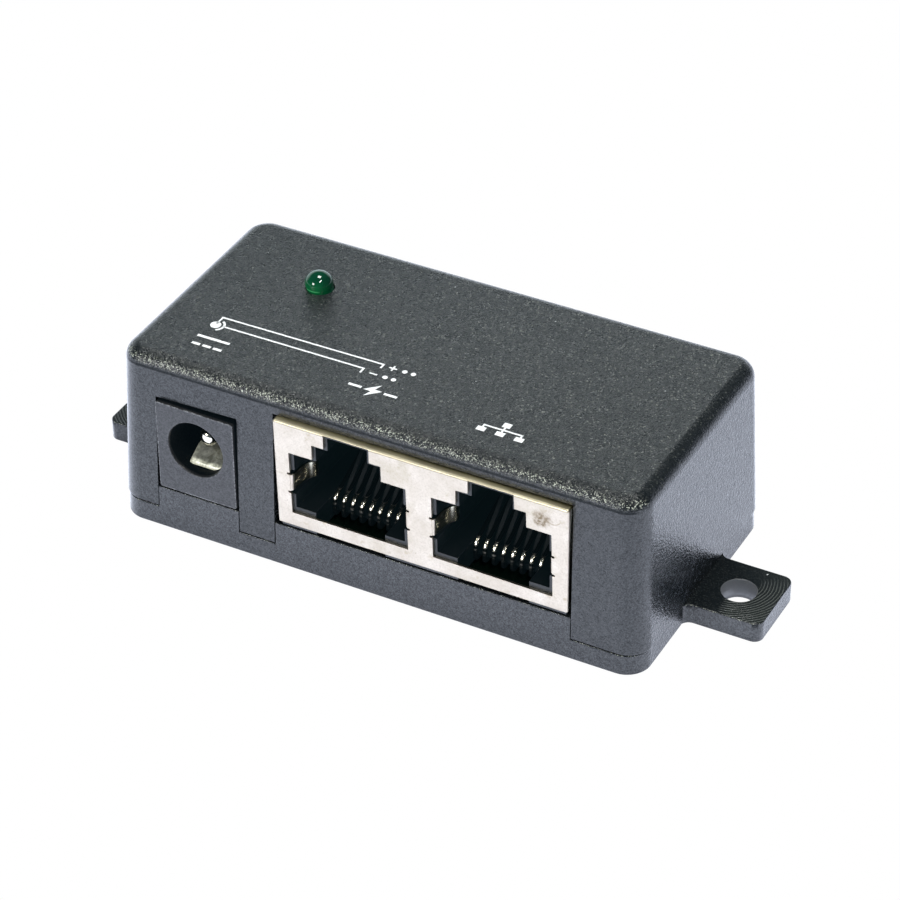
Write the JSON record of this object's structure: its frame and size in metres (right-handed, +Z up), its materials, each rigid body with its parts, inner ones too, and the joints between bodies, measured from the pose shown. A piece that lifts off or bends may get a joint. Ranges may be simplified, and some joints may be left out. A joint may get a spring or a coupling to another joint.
{
  "type": "power over ethernet injector",
  "caption": "Small passive power-over-ethernet injector: dark two-part case with screw ears, a DC barrel socket, a shielded pair of RJ45 sockets and a green LED.",
  "frame": {"origin": "centre of the case's underside", "axes": "+X along the case from the DC socket to the LAN socket and the longest way, +Z up and the shortest way, the sockets face -Y"},
  "size_m": [0.0748, 0.0292, 0.0221],
  "materials": {
    "case_plastic": "fine spark-eroded texture",
    "base_plastic": "fine matte, tooling ripples on the ears",
    "socket_plastic": "satin moulded",
    "dc_plastic": "fine satin, worn edges",
    "tin_plate": "matte tin plate, faint stains",
    "gold_wire": "polished gold flash",
    "nickel": "bright nickel plate",
    "board": "solder mask",
    "led_green": "tinted clear resin",
    "screw_steel": "zinc plate",
    "resistor": "glazed"
  },
  "bodies": {
    "case": {"base_plate": "base_plastic", "case_screw_front_right": "screw_steel", "case_screw_rear_left": "screw_steel", "circuit_board": "board", "dc_center_pin": "nickel", "dc_jack_housing": "dc_plastic", "dc_sleeve_terminal": "nickel", "dc_switch_contact": "nickel", "lan_contact_carrier": "socket_plastic", "lan_contact_tail_1": "gold_wire", "lan_contact_tail_2": "gold_wire", "lan_contact_tail_3": "gold_wire", "lan_contact_tail_4": "gold_wire", "lan_contact_tail_5": "gold_wire", "lan_contact_tail_6": "gold_wire", "lan_contact_tail_7": "gold_wire", "lan_contact_tail_8": "gold_wire", "led_anode_lead": "nickel", "led_cathode_lead": "nickel", "led_lens": "led_green", "led_resistor": "resistor", "poe_contact_carrier": "socket_plastic", "poe_contact_tail_1": "gold_wire", "poe_contact_tail_2": "gold_wire", "poe_contact_tail_3": "gold_wire", "poe_contact_tail_4": "gold_wire", "poe_contact_tail_5": "gold_wire", "poe_contact_tail_6": "gold_wire", "poe_contact_tail_7": "gold_wire", "poe_contact_tail_8": "gold_wire", "rj45_housing": "socket_plastic", "rj45_shield": "tin_plate", "rj45_shield_rear": "tin_plate", "top_cover": "case_plastic"},
    "poe_contacts_flexing": {"poe_contact_spring_1": "gold_wire", "poe_contact_spring_2": "gold_wire", "poe_contact_spring_3": "gold_wire", "poe_contact_spring_4": "gold_wire", "poe_contact_spring_5": "gold_wire", "poe_contact_spring_6": "gold_wire", "poe_contact_spring_7": "gold_wire", "poe_contact_spring_8": "gold_wire"},
    "lan_contacts_flexing": {"lan_contact_spring_1": "gold_wire", "lan_contact_spring_2": "gold_wire", "lan_contact_spring_3": "gold_wire", "lan_contact_spring_4": "gold_wire", "lan_contact_spring_5": "gold_wire", "lan_contact_spring_6": "gold_wire", "lan_contact_spring_7": "gold_wire", "lan_contact_spring_8": "gold_wire"},
    "dc_leaf": {"dc_sleeve_spring": "nickel"}
  },
  "joints": [
    {"name": "poe_contacts_flex", "type": "hinge", "parent": "case", "child": "poe_contacts_flexing", "pos_m": [-0.00235, -0.01121, 0.00674], "axis": [-1, 0, 0], "range_deg": [0, 8], "stiffness_Nm_per_rad": 0.02},
    {"name": "lan_contacts_flex", "type": "hinge", "parent": "case", "child": "lan_contacts_flexing", "pos_m": [0.01349, -0.01121, 0.00674], "axis": [-1, 0, 0], "range_deg": [0, 8], "stiffness_Nm_per_rad": 0.02},
    {"name": "dc_leaf_flex", "type": "hinge", "parent": "case", "child": "dc_leaf", "pos_m": [-0.01985, -0.00547, 0.00805], "axis": [1, 0, 0], "range_deg": [0, 10], "stiffness_Nm_per_rad": 0.03}
  ]
}
